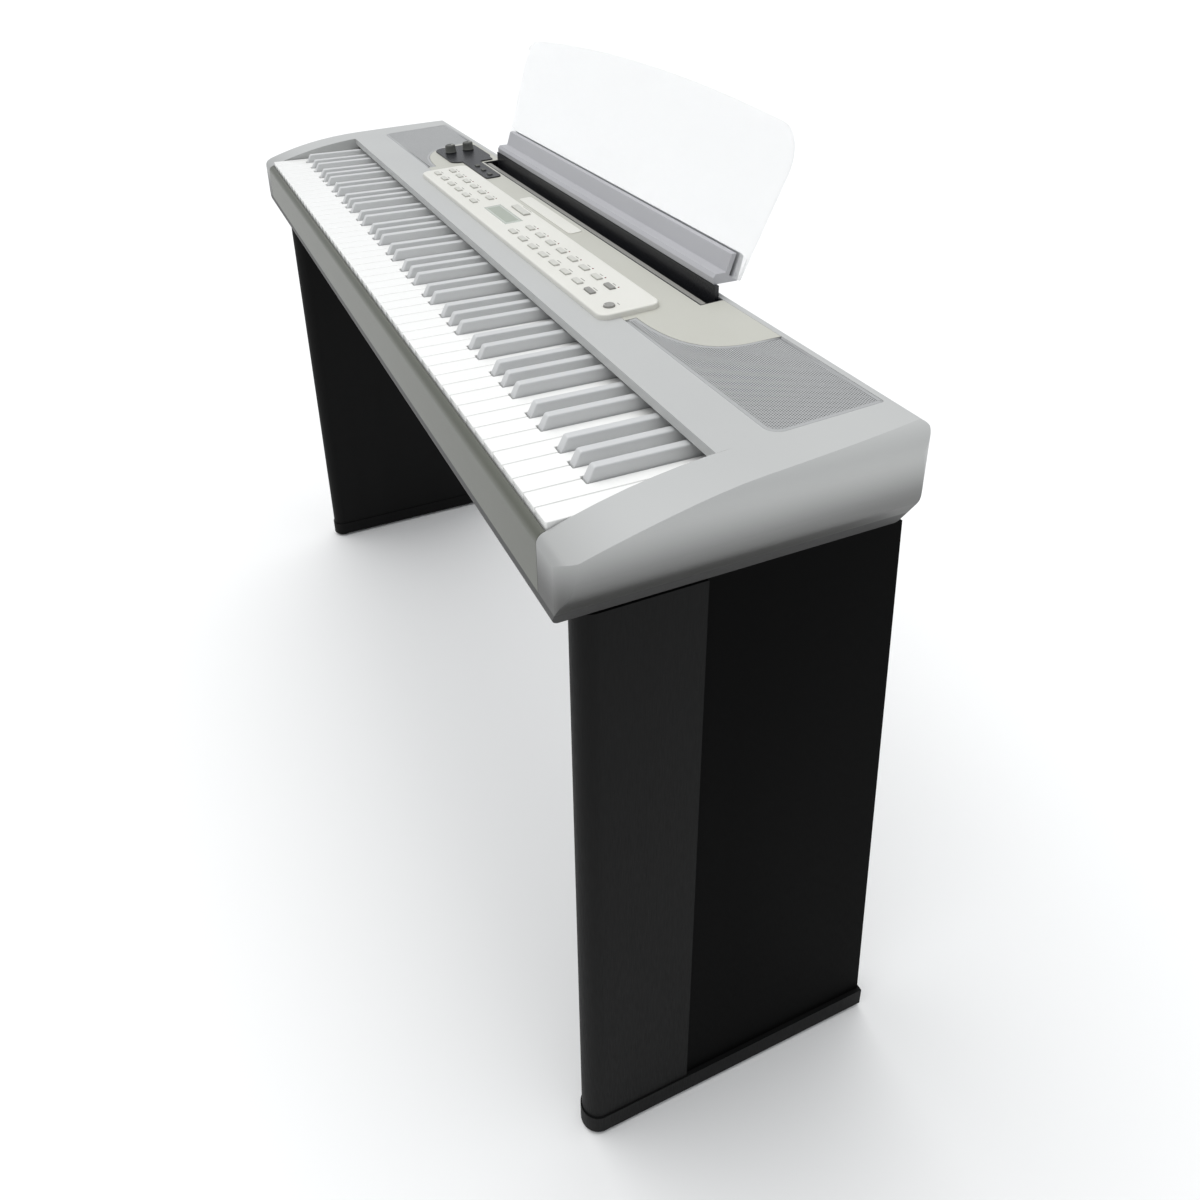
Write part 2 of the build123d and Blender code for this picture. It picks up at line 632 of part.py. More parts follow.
def rest_bar():
    """The grey ledge with its low upright, which grips the clear sheet."""
    (front, back), (low, high) = LEDGE_Y, LEDGE_Z
    rise = UPRIGHT_H * sin(LEAN)
    outline = Polyline(
        (front, low), (back + SHEET_T + 5, low), (back + SHEET_T + 5 + rise, high + UPRIGHT_H - 4),
        (back + SHEET_T + rise + 1, high + UPRIGHT_H), (back - UPRIGHT_T + rise, high + UPRIGHT_H),
        (back - UPRIGHT_T, high), (front + 3, high), (front, high - 4), close=True)
    span = (CENTRE_X - REST_HALF, CENTRE_X + REST_HALF)
    face = rounded(make_face(outline), [(back - UPRIGHT_T, high, 1.5), (front, low, 1.5),
                                        (back - UPRIGHT_T + rise, high + UPRIGHT_H, 1.2)])
    body = extrude(Plane.YZ.offset(span[0]) * face, span[1] - span[0])
    return body - rest_sheet()


def rest_sheet():
    """The clear sheet: straight sides that lean out, an arched top and round corners."""
    low = -4.0
    foot_half, side_half = SHEET_FOOT_HALF, SHEET_FOOT_HALF + SHEET_FLARE
    left = Polyline((CENTRE_X - side_half, SHEET_SIDE_H), (CENTRE_X - foot_half, low),
                    (CENTRE_X + foot_half, low), (CENTRE_X + side_half, SHEET_SIDE_H))
    arch = ThreePointArc((CENTRE_X + side_half, SHEET_SIDE_H), (CENTRE_X, SHEET_H),
                         (CENTRE_X - side_half, SHEET_SIDE_H))
    face = make_face(left.edges() + arch.edges())
    corners = [(CENTRE_X + side * side_half, SHEET_SIDE_H, SHEET_CORNER) for side in (-1, 1)]
    flat = plate(rounded(face, corners), -SHEET_T, 0)
    return Pos(0, *SHEET_FOOT) * Rot(90 - REST_LEAN, 0, 0) * flat


# ---- stand ------------------------------------------------------------------------------------
def leg_back(z):
    """The leg's back edge at a height: it runs out towards the floor."""
    return LEG_BACK_FOOT + (LEG_BACK_TOP - LEG_BACK_FOOT) * (z - GLIDE_TOP) / (CASE_BOTTOM - GLIDE_TOP)


def upright_board(x, front, low, high):
    """A board in the plane of the leg, from a straight front edge to the leg's sloping back."""
    outline = Polyline((front, low), (leg_back(low), low), (leg_back(high), high), (front, high), close=True)
    return extrude(Plane.YZ.offset(x[0]) * make_face(outline), x[1] - x[0])


def leg_stile():
    """The front of the right leg, with a half-round edge."""
    radius = (LEG_OUT - LEG_IN) / 2
    nose = rod_z(radius, LEG_OUT - radius, LEG_FRONT + radius, (PLINTH_TOP, CASE_BOTTOM))
    return nose + block((LEG_IN, LEG_OUT), (LEG_FRONT + radius, STILE_BACK), (PLINTH_TOP, CASE_BOTTOM))


def leg_panel():
    """The right leg's board behind the stile, thinner where the dark inset lies on it."""
    body = upright_board((LEG_IN, LEG_OUT - INSET_T - INSET_SINK), STILE_BACK, PLINTH_TOP, CASE_BOTTOM)
    for y in BRACKET_Y:
        for step in (-16, 16):
            if y + step > STILE_BACK:
                body -= rod_x(2.6, (590, 619), y + step, 630)
    return body


def stile_holes(body):
    """The blind holes in a stile for the front bracket's screws."""
    for y in BRACKET_Y:
        for step in (-16, 16):
            if y + step < STILE_BACK:
                body -= rod_x(2.6, (590, 619), y + step, 630)
    return body


def leg_inset():
    """The dark panel let into the outside of the right leg."""
    out = LEG_OUT - INSET_SINK
    return upright_board((out - INSET_T, out), STILE_BACK, PLINTH_TOP, CASE_BOTTOM)


def leg_plinth():
    """The right leg's foot board, a little proud, with a round front."""
    inner, outer = LEG_IN - PLINTH_PROUD, LEG_OUT + PLINTH_PROUD
    radius = (outer - inner) / 2
    middle = (inner + outer) / 2
    nose = rod_z(radius, middle, LEG_FRONT + radius - PLINTH_PROUD, (GLIDE_TOP, PLINTH_TOP))
    back = leg_back(GLIDE_TOP) + PLINTH_PROUD
    return nose + block((inner, outer), (LEG_FRONT + radius - PLINTH_PROUD, back), (GLIDE_TOP, PLINTH_TOP))


def both_sides(shape):
    """A piece and its mirror image, as one node of two solids."""
    return group([shape, mirrored(shape)])


def rear_stretcher():
    """The board between the legs, high at the back."""
    return block((-LEG_IN, LEG_IN), STRETCH_Y, STRETCH_Z)


def bracket(y):
    """A right-angle steel bracket between the right leg and the case: its two flanges."""
    span = (y - BRACKET_W / 2, y + BRACKET_W / 2)
    upright = block((LEG_IN - BRACKET_T, LEG_IN), span, (CASE_BOTTOM - BRACKET_L, CASE_BOTTOM - BRACKET_T))
    flat = block((LEG_IN - BRACKET_L - 8, LEG_IN), span, (CASE_BOTTOM - BRACKET_T, CASE_BOTTOM))
    for step in (-16, 16):
        flat -= rod_z(BOLT_HOLE, insert_places()[-1][0], y + step, (640, 670))
        upright -= rod_x(2.9, (580, 610), y + step, 630)
    return [upright, flat]


def stand_bolts():
    """Thumb bolts up into the case and screws into the legs, for the right side."""
    solids = []
    head_top = CASE_BOTTOM - BRACKET_T
    for y in BRACKET_Y:
        for step in (-16, 16):
            x = insert_places()[-1][0]
            bolt = rod_z(9, x, y + step, (head_top - 8, head_top))
            bolt += rod_z(BOLT_R, x, y + step, (head_top - 1, 667.5))
            screw = rod_x(5.5, (LEG_IN - BRACKET_T - 2.5, LEG_IN - BRACKET_T), y + step, 630)
            screw += rod_x(2.4, (LEG_IN - BRACKET_T - 1, 618), y + step, 630)
            solids += [bolt, screw]
    return solids


def glides():
    """The four discs that the stand rests on."""
    places = [(LEG_OUT - 17, y) for y in (LEG_FRONT + 17, LEG_BACK_FOOT - 22)]
    right = [rod_z(GLIDE_R, x, y, (FLOOR, GLIDE_TOP)) for x, y in places]
    return group(right + [mirrored(solid) for solid in right])


def save_case():
    outer, inner = case_solid(0), case_solid(WALL)
    save("upper_case", upper_case(outer, inner))
    save("lower_case", lower_case(outer, inner))
    save("key_slip", key_slip(outer))
    save("deck_panel", deck_panel())
    right = grille()
    save("grille_right", right)
    save("grille_left", mirrored(right))
    save("speaker_drivers", both_sides(speaker()))
    save("jacks", jacks())
    save("key_chassis", key_chassis())
    save("key_felts", key_felts())
    save("case_screws", case_screws())
    save("circuit_boards", circuit_boards())


def save_controls():
    save("control_panel", control_panel())
    save("lcd_lens", lcd_lens())
    for side in BANKS:
        save(f"button_bank_{side}", button_bank(side))
    save("power_button", power_button())
    save("menu_rocker", menu_rocker())
    save("mixer_plate", mixer_plate())
    save("mixer_buttons", mixer_buttons())
    for name, v in KNOBS.items():
        save(name, knob(v))


def save_rest():
    save("rest_well", rest_well())
    save("rest_foot", rest_foot())
    save("rest_bar", rest_bar())
    save("rest_sheet", rest_sheet())


def save_stand():
    panel = leg_panel()
    save("leg_panel_right", panel)
    save("leg_panel_left", mirrored(panel))
    save("leg_stiles", both_sides(stile_holes(leg_stile())))
    save("leg_insets", both_sides(leg_inset()))
    save("leg_plinths", both_sides(leg_plinth()))
    save("rear_stretcher", rear_stretcher())
    right = [flange for y in BRACKET_Y for flange in bracket(y)]
    save("stand_brackets", group(right + [mirrored(solid) for solid in right]))
    right = stand_bolts()
    save("stand_bolts", group(right + [mirrored(solid) for solid in right]))
    save("glides", glides())


os.makedirs("parts", exist_ok=True)
save_case()
save_controls()
save_rest()
save_stand()
save_keys()
print("key fronts at Y", round(KEY_LINE_Y, 2), "deck height at the back", DECK_BACK_Z)
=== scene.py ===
# %% [markdown]
# # A digital piano on its stand
# The object is a full-size keyboard of 52 white and 36 black keys in a long moulded case. It has a
# sloping deck with a control panel, a clear music rest that lifts off, and a stand of two black
# boards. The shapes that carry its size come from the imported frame. This lesson gives them their
# finishes, and draws again the pieces that hands and eyes come near: keys, caps, knobs and grilles.

# %% Load the frame
import math
import json

import bmesh
import bpy
import numpy as np
from mathutils import Matrix, Vector


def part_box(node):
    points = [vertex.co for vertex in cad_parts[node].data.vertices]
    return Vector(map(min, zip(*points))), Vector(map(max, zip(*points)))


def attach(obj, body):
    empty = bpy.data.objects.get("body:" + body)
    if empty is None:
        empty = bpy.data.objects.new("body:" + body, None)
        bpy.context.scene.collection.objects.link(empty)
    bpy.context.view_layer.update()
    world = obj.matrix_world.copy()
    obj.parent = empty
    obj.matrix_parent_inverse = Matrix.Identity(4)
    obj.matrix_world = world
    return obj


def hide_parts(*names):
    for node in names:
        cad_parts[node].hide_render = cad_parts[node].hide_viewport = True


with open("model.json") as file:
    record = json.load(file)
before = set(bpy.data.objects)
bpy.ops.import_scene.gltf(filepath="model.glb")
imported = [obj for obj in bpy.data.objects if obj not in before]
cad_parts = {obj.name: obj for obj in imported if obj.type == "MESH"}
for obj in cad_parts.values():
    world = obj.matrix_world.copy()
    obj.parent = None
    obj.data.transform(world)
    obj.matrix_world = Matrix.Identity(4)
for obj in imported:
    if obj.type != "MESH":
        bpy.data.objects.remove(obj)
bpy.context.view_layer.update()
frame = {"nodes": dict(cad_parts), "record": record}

# %% [markdown]
# ## The camera
# A view from above the treble end, looking down along the keys. It is set first, because every
# later choice of detail depends on how near the eye comes. The lens is a moderate wide angle, and
# the vertical shift keeps the legs in the frame without tilting the camera further down.

# %% Camera
KEY_FRONT, KEY_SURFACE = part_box("key_c_4")[0].y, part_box("key_c_4")[1].z  # metres, from the frame
CAMERA_PLACE = (1.2109, KEY_FRONT - 0.2288, KEY_SURFACE + 0.4213)
YAW, PITCH, ROLL = (math.radians(a) for a in (65.5, -26.6, -0.6))
SENSOR_MM, LENS_MM, VIEW_SHIFT = 36.0, 31.155, -0.1667


def camera_turn(yaw, pitch, roll):
    """The camera's rotation. Yaw turns from +Y towards -X, pitch lifts the line of sight above the
    horizon, and roll turns the picture about it."""
    level_ahead = np.array([-math.sin(yaw), math.cos(yaw), 0.0])
    ahead = math.cos(pitch) * level_ahead + math.sin(pitch) * np.array([0.0, 0.0, 1.0])
    side = np.array([math.cos(yaw), math.sin(yaw), 0.0])
    above = np.cross(side, ahead)
    right = math.cos(roll) * side + math.sin(roll) * above
    top = math.cos(roll) * above - math.sin(roll) * side
    return Matrix(np.column_stack([right, top, -ahead]).tolist())


lens = bpy.data.cameras.new("camera")
lens.sensor_width, lens.lens, lens.shift_y = SENSOR_MM, LENS_MM, VIEW_SHIFT
lens.clip_start, lens.clip_end = 0.05, 60.0
camera = bpy.data.objects.new("camera", lens)
camera.matrix_world = Matrix.Translation(CAMERA_PLACE) @ camera_turn(YAW, PITCH, ROLL).to_4x4()
bpy.context.collection.objects.link(camera)
bpy.context.scene.camera = camera
print("camera at", [round(v, 3) for v in camera.location], "lens", lens.lens, "mm")

# %% [markdown]
# ## Floor and light
# A studio floor is a wide sheet of pale paper. One very soft lamp shines down on it from above the
# player's left, so that surfaces which face up are bright, the case's sides fall off into shade and
# the paper stays white as far as the eye goes. The sky gives an even fill. Standard colour
# management keeps each finish at the colour that its hex value names.

# %% Floor, sky and sun
FLOOR_HALF = 30.0
SKY_COLOUR, SKY_STRENGTH = (0.95, 0.97, 1.0, 1.0), 0.62
SUN_DIRECTION, SUN_SPREAD, SUN_STRENGTH = (0.25, 0.15, -1.0), 70.0, 1.9
bpy.context.scene.view_settings.view_transform = "Standard"


def soft_sun(name, direction, spread, strength):
    """A lamp so far away that it lights everything alike. Its rays go along a direction, and come
    from a disc as wide in the sky as the spread, in degrees."""
    light = bpy.data.lights.new(name, "SUN")
    light.angle, light.energy = math.radians(spread), strength
    lamp = bpy.data.objects.new(name, light)
    away = -Vector(direction)
    lamp.matrix_world = away.to_track_quat("Z", "Y").to_matrix().to_4x4()
    bpy.context.collection.objects.link(lamp)


sky = bpy.data.worlds.new("studio")
bpy.context.scene.world = sky
sky.use_nodes = True
sky_light = sky.node_tree.nodes["Background"]
sky_light.inputs["Color"].default_value = SKY_COLOUR
sky_light.inputs["Strength"].default_value = SKY_STRENGTH
soft_sun("overhead", SUN_DIRECTION, SUN_SPREAD, SUN_STRENGTH)

floor_mesh = bpy.data.meshes.new("floor")
floor_mesh.from_pydata([(-FLOOR_HALF, -FLOOR_HALF, 0), (FLOOR_HALF, -FLOOR_HALF, 0),
                        (FLOOR_HALF, FLOOR_HALF, 0), (-FLOOR_HALF, FLOOR_HALF, 0)], [], [(0, 1, 2, 3)])
floor = bpy.data.objects.new("floor", floor_mesh)
bpy.context.collection.objects.link(floor)
print("floor", 2 * FLOOR_HALF, "m wide")

# %% [markdown]
# ## Tools for finishes
# Colours are written as the hex values a painter would read off a chart. A renderer works with
# light, so one function turns them to linear values. A second one adds a node with its settings
# and links, whatever kind of node it is.

# %% Colour and node helpers
MM = 0.001


def linear(hex_colour):
    """sRGB hex to linear light: below 0.04045 a straight line, above it a power of 2.4."""
    value = np.array([int(hex_colour[i:i + 2], 16) for i in (1, 3, 5)]) / 255
    light = np.where(value <= 0.04045, value / 12.92, ((value + 0.055) / 1.055) ** 2.4)
    return (*light.tolist(), 1.0)


def add(tree, kind, settings=None, inputs=None):
    """Adds a node, sets its own settings, and gives each input a constant or another's output."""
    node = tree.nodes.new(kind)
    for name, value in (settings or {}).items():
        setattr(node, name, value)
    for socket, value in (inputs or {}).items():
        if isinstance(value, bpy.types.NodeSocket):
            tree.links.new(value, node.inputs[socket])
        else:
            node.inputs[socket].default_value = value
    return node


def finish(name, build, **constants):
    """A material: constants go on the shader's own sockets, then build adds the pattern."""
    material = bpy.data.materials.new(name)
    material.use_nodes = True
    tree = material.node_tree
    shader = tree.nodes["Principled BSDF"]
    for socket, value in constants.items():
        shader.inputs[socket.replace("_", " ")].default_value = value
    build(tree, shader)
    return material


def clouded(tones, cloud_mm, grain_mm, relief_mm, roughness, stretch=(1, 1, 1)):
    """A surface whose colour drifts between two tones over cloud_mm, with a fine grain that lifts
    the surface by relief_mm and spreads its roughness between two values."""
    def build(tree, shader):
        place = add(tree, "ShaderNodeTexCoord").outputs["Object"]
        place = add(tree, "ShaderNodeMapping", inputs={"Vector": place, "Scale": stretch}).outputs[0]
        cloud = add(tree, "ShaderNodeTexNoise",
                    inputs={"Vector": place, "Scale": 1 / (cloud_mm * MM), "Detail": 3.0}).outputs[0]
        grain = add(tree, "ShaderNodeTexNoise",
                    inputs={"Vector": place, "Scale": 1 / (grain_mm * MM), "Detail": 2.0}).outputs[0]
        tint = add(tree, "ShaderNodeMix", {"data_type": "RGBA"},
                   {0: cloud, 6: linear(tones[0]), 7: linear(tones[1])}).outputs[2]
        spread = add(tree, "ShaderNodeMapRange", inputs={
            "Value": grain, "From Min": 0.3, "From Max": 0.7,
            "To Min": roughness[0], "To Max": roughness[1]}).outputs[0]
        relief = add(tree, "ShaderNodeBump",
                     inputs={"Height": grain, "Distance": relief_mm * MM}).outputs[0]
        tree.links.new(tint, shader.inputs["Base Color"])
        tree.links.new(spread, shader.inputs["Roughness"])
        tree.links.new(relief, shader.inputs["Normal"])
    return build


def shaded_downwards(coat, shade_colour, low, high):
    """Painted shade: the coat's colour is darkened downwards by object height. Below one height in
    metres the shade colour shows, above the other the coat's own colour, and a smooth step leads over."""
    def build(tree, shader):
        coat(tree, shader)
        place = add(tree, "ShaderNodeTexCoord").outputs["Object"]
        height = add(tree, "ShaderNodeSeparateXYZ", inputs={"Vector": place}).outputs["Z"]
        unshaded_share = add(tree, "ShaderNodeMapRange", {"interpolation_type": "SMOOTHSTEP"},
                    {"Value": height, "From Min": low, "From Max": high}).outputs[0]
        top = shader.inputs["Base Color"].links[0].from_socket
        shade = add(tree, "ShaderNodeMix", {"data_type": "RGBA"},
                    {0: unshaded_share, 6: linear(shade_colour), 7: top}).outputs[2]
        tree.links.new(shade, shader.inputs["Base Color"])
    return build


# %% [markdown]
# ## Case finishes
# The case is injection-moulded ABS under a thin coat of silver-grey paint. ABS has an index of
# refraction near 1.53. The mould's spark-eroded texture is about a third of a millimetre across,
# which gives a satin sheen with no clear reflection. Down the sides, where the case turns under, the
# colour is painted darker towards the bottom: painted shade, which adds to the shade the lamp leaves
# there. The key slip has an olive-grey paint and the deck a warmer one.

# %% Painted ABS
ABS_IOR = 1.53
PAINTED_SHADE_LOW, PAINTED_SHADE_HIGH = KEY_SURFACE - 0.053, KEY_SURFACE + 0.016  # heights between which painted shade darkens the case's sides


def plain(name, tones, sizes, roughness, stretch=(1, 1, 1), **constants):
    """A clouded finish, from its two tones and the sizes in millimetres of its cloud, its grain and
    its relief."""
    return finish(name, clouded(tones, *sizes, roughness, stretch), **constants)


def abs_plastic(name, *pattern):
    """A clouded finish on ABS."""
    return plain(name, *pattern, IOR=ABS_IOR)


# Painted shade: the case's silver-grey is darkened towards its lower edge, by height.
case_coat_and_painted_shade = shaded_downwards(clouded(("#B4B5B4", "#BCBDBB"), 160, 0.35, 0.02, (0.36, 0.46)),
                  "#353533", PAINTED_SHADE_LOW, PAINTED_SHADE_HIGH)
FINISH = {
    "case_grey": finish("painted_abs_silver_grey_painted_shade", case_coat_and_painted_shade, IOR=ABS_IOR),
    "case_dark": abs_plastic("moulded_abs_charcoal", ("#222222", "#2A2A29"),
                             (120, 0.5, 0.04), (0.5, 0.62)),
    "slip_grey": abs_plastic("painted_abs_olive_grey", ("#4E5047", "#56584E"),
                             (140, 0.35, 0.02), (0.34, 0.44)),
    "deck_beige": abs_plastic("painted_abs_warm_grey", ("#BAB9AF", "#C0C0B7"),
                              (120, 0.35, 0.02), (0.36, 0.46)),
    "panel_ivory": abs_plastic("painted_abs_ivory", ("#DAD9D1", "#E0DFD8"),
                               (90, 0.3, 0.015), (0.3, 0.4)),
    "cap_grey": abs_plastic("moulded_abs_pale_grey", ("#C6C5BD", "#CCCCC5"),
                            (30, 0.25, 0.01), (0.3, 0.4)),
    "power_cap": abs_plastic("moulded_abs_mid_grey", ("#8C8B86", "#94938E"),
                             (20, 0.25, 0.01), (0.26, 0.36)),
    "rest_grey": abs_plastic("moulded_abs_cool_grey", ("#ABABAE", "#B3B3B6"),
                             (100, 0.3, 0.015), (0.32, 0.42)),
    "trim_black": abs_plastic("moulded_abs_black", ("#101114", "#1C1D22"),
                              (18, 0.6, 0.05), (0.22, 0.4)),
    "knob_dark": plain("soft_touch_charcoal", ("#4E4F4B", "#585955"),
                       (12, 0.2, 0.02), (0.5, 0.65), IOR=1.5),
}
print("painted and moulded finishes:", len(FINISH))

# %% [markdown]
# ## Key, board and metal finishes
# White keys are polished acrylic-faced ABS, with a clear reflection. The short keys are moulded in a
# satin grey. The stand's boards are particle board wrapped in black vinyl, which is embossed with
# long shallow pores. Grilles are powder-coated steel, brackets and screws are zinc-plated. The music
# rest is clear acrylic. Real acrylic has no alpha. Here it has one of 0.28, because
# with transmission alone the sheet's edges picked up the dark case under them. The price is a sheet
# that shows more faintly than plain acrylic would.

# %% Keys, boards, metals and small parts
PORES = (1, 1, 0.05)  # the embossed pores are twenty times as long as they are wide, and upright
FINISH.update({
    "key_white": plain("polished_key_white", ("#F2F2EF", "#F6F6F4"),
                       (60, 0.8, 0.002), (0.1, 0.17), IOR=1.49),
    "key_grey": abs_plastic("satin_key_grey", ("#C6C7C7", "#CDCECE"),
                            (40, 0.25, 0.01), (0.3, 0.4)),
    "grille_grey": plain("powder_coated_steel", ("#A3A4A4", "#ABACAC"),
                         (80, 0.3, 0.02), (0.4, 0.5), IOR=1.5),
    "steel": plain("zinc_plated_steel", ("#A9ABAD", "#BDBFC0"),
                   (14, 0.4, 0.01), (0.25, 0.42), Metallic=1.0),
    "board_black": plain("embossed_vinyl_black", ("#0D0D0D", "#131313"),
                         (60, 0.7, 0.12), (0.5, 0.62), PORES, IOR=1.54, Specular_IOR_Level=0.08),
    "inset_black": plain("smooth_vinyl_black", ("#050505", "#080808"),
                         (60, 0.5, 0.06), (0.5, 0.62), PORES, IOR=1.54, Specular_IOR_Level=0.02),
    "rubber": plain("moulded_rubber_black", ("#161616", "#1E1E1D"),
                    (10, 0.3, 0.03), (0.7, 0.85), IOR=1.52),
    "felt": plain("pressed_wool_felt", ("#3A1416", "#4A1B1D"),
                  (6, 0.12, 0.2), (0.9, 1.0), IOR=1.5),
    "circuit_green": plain("soldered_circuit_board", ("#173D24", "#1F4B2D"),
                           (8, 0.6, 0.02), (0.3, 0.45), IOR=1.55),
    "speaker_black": plain("paper_cone_black", ("#151515", "#1D1D1D"),
                           (9, 0.4, 0.06), (0.7, 0.85), IOR=1.5),
    "cloth_grey": plain("woven_polyester_grey", ("#6A6A6A", "#747474"),
                        (40, 0.6, 0.1), (0.8, 0.9), IOR=1.5),
    "jack_black": plain("moulded_nylon_black", ("#121212", "#191919"),
                        (12, 0.3, 0.02), (0.4, 0.5), IOR=1.53),
    "clear_acrylic": plain("clear_acrylic_sheet", ("#F4F7F6", "#FAFBFB"),
                           (120, 0.4, 0.001), (0.01, 0.03),
                           IOR=1.49, Transmission_Weight=1.0, Alpha=0.28),
    "display_lens": plain("display_glass_grey_green", ("#B4BBAF", "#BBC2B6"),
                          (25, 0.3, 0.001), (0.06, 0.1),
                          IOR=1.52, Coat_Weight=1.0, Coat_Roughness=0.03),
    "display_cell": plain("liquid_crystal_cell", ("#97A08F", "#9FA897"),
                          (8, 0.15, 0.001), (0.08, 0.12), IOR=1.52, Coat_Weight=1.0),
    "print_grey": plain("screen_print_grey", ("#8E8E87", "#96968F"),
                        (10, 0.2, 0.002), (0.5, 0.6), IOR=1.5),
    "lamp_red": plain("moulded_lamp_red", ("#6E1B1B", "#7C2323"),
                      (2, 0.2, 0.002), (0.12, 0.2), IOR=1.55),
    "studio_paper": plain("studio_paper", ("#F7F7F6", "#F9F9F8"),
                          (900, 3.0, 0.05), (0.85, 0.95), IOR=1.4),
})
floor_mesh.materials.append(FINISH["studio_paper"])
for part in frame["record"]["subparts"]:
    carried = frame["nodes"][part["node"]].data.materials
    carried.clear()
    carried.append(FINISH[part["material_slot"]])
print("finishes in all:", len(FINISH))

# %% [markdown]
# ## Tools for shapes
# Almost every small piece of the piano is an outline that climbs: it starts at a foot, goes up as a
# wall and rolls over into a top. So one function rounds an outline's corners, one lists the rings of
# a soft edge, and one carries the outline up those rings. All of them work on whole arrays.

# %% Outlines and rings
def rounded_outline(corners, radii, steps=5):
    """Each corner becomes an arc that touches both its sides. The arc starts r / tan(half the
    corner's angle) along one side, ends as far along the other, and its points are evenly turned."""
    corner = np.asarray(corners, float)
    radius = np.broadcast_to(np.asarray(radii, float), len(corner))[:, None]
    back, ahead = np.roll(corner, 1, 0) - corner, np.roll(corner, -1, 0) - corner
    back /= np.linalg.norm(back, axis=1, keepdims=True)
    ahead /= np.linalg.norm(ahead, axis=1, keepdims=True)
    half = np.arccos(np.clip((back * ahead).sum(1, keepdims=True), -1, 1)) / 2
    inward = (back + ahead) / np.linalg.norm(back + ahead, axis=1, keepdims=True)
    centre = corner + inward * radius / np.sin(half)
    start = corner + back * radius / np.tan(half) - centre
    stop = corner + ahead * radius / np.tan(half) - centre
    first = np.arctan2(start[:, 1], start[:, 0])[:, None]
    last = np.arctan2(stop[:, 1], stop[:, 0])[:, None]
    sweep = (last - first + np.pi) % (2 * np.pi) - np.pi
    angle = first + sweep * np.linspace(0, 1, steps)
    arc = np.stack([np.cos(angle), np.sin(angle)], 2)
    return (centre[:, None] + radius[:, :, None] * arc).reshape(-1, 2)


def box_outline(x, y, radius, steps=5):
    """A rectangle from its low and high sides, with round corners, anticlockwise."""
    return rounded_outline([(x[0], y[0]), (x[1], y[0]), (x[1], y[1]), (x[0], y[1])], radius, steps)


def round_outline(x, y, radius, count=32):
    """A circle of evenly spaced points."""
    turn = np.arange(count) * 2 * np.pi / count
    return np.stack([x + radius * np.cos(turn), y + radius * np.sin(turn)], 1)


def soft_rings(low, high, top, foot=0.3, steps=4):
    """Insets and heights of a wall with a quarter circle at its foot and one at its top. A ring
    just past each end of a circle keeps the flats beside it truly flat in the shading."""
    turn = np.linspace(0, np.pi / 2, steps)
    lower = np.stack([foot - foot * np.sin(turn), low + foot - foot * np.cos(turn)], 1)
    upper = np.stack([top - top * np.cos(turn), high - top + top * np.sin(turn)], 1)
    return np.vstack([[foot + 0.15, low], lower, [0, low + foot + 0.1],
                      [0, high - top - 0.1], upper, [top + 0.15, high]])


def climb(outline, rings, hollow=False):
    """Every ring is the outline moved inwards along the bisector of its corners, so that all sides
    move by the same inset, and lifted to its height. Quads join the rings. The ends are closed
    flat, or, if hollow, the last ring joins the first, which leaves a hole in the middle."""
    count, levels = len(outline), len(rings)
    along = np.roll(outline, -1, 0) - outline
    along /= np.linalg.norm(along, axis=1, keepdims=True)
    out = np.stack([along[:, 1], -along[:, 0]], 1)
    before = np.roll(out, 1, 0)
    bisector = (out + before) / (1 + (out * before).sum(1, keepdims=True))
    inset, height = np.asarray(rings, float).T
    flat = outline[None] - bisector[None] * inset[:, None, None]
    lift = np.broadcast_to(height[:, None, None], (levels, count, 1))
    points = np.concatenate([flat, lift], 2).reshape(-1, 3)
    here = np.arange(count)
    step = here + 1
    step[-1] = 0
    low = np.arange(levels if hollow else levels - 1)[:, None] * count
    high = (low + count) % (levels * count)
    quads = np.stack([low + here, low + step, high + step, high + here], 2).reshape(-1, 4).tolist()
    if not hollow:
        quads += [here[::-1].tolist(), (here + (levels - 1) * count).tolist()]
    return points, quads


def together(shapes):
    """Several closed shapes as one mesh: the face numbers of each move past those before it."""
    points, faces, count = [], [], 0
    for shape_points, shape_faces in shapes:
        points.append(shape_points)
        faces += [[i + count for i in face] for face in shape_faces]
        count += len(shape_points)
    return np.vstack(points), faces


# %% [markdown]
# ## Where a piece goes
# Two drawing boards are in use. One is level, with Y measured back from the fronts of the white
# keys. The other is the deck, which rises three degrees towards the back: X along the piano, V up
# the slope, and H straight out of it. Both are in millimetres, and both end up in the shared frame.

# %% Placing and finishing a piece
BOARD_KEY_TOP = 737.0  # the keys' surface on both boards
KEY_LINE, LIFT = KEY_FRONT / MM, KEY_SURFACE / MM - BOARD_KEY_TOP
DECK_TILT = math.radians(3.0)
DECK_BACK_Y, DECK_BACK_HEIGHT = 314.0, 770.8  # the deck's back edge
DECK_ZERO = DECK_BACK_HEIGHT - DECK_BACK_Y * math.tan(DECK_TILT)  # its height at the key fronts


def level(points):
    """From the level board to the frame: Y moves to the key line, heights to the keys' surface in
    the frame, and millimetres become metres."""
    return (points + [0, KEY_LINE, LIFT]) * MM


def sloped(points):
    """From the deck's board to the frame: V and H turn by the deck's tilt, then as for level."""
    x, v, h = points.T
    y = v * math.cos(DECK_TILT) - h * math.sin(DECK_TILT)
    z = v * math.sin(DECK_TILT) + h * math.cos(DECK_TILT) + DECK_ZERO
    return level(np.stack([x, y, z], 1))


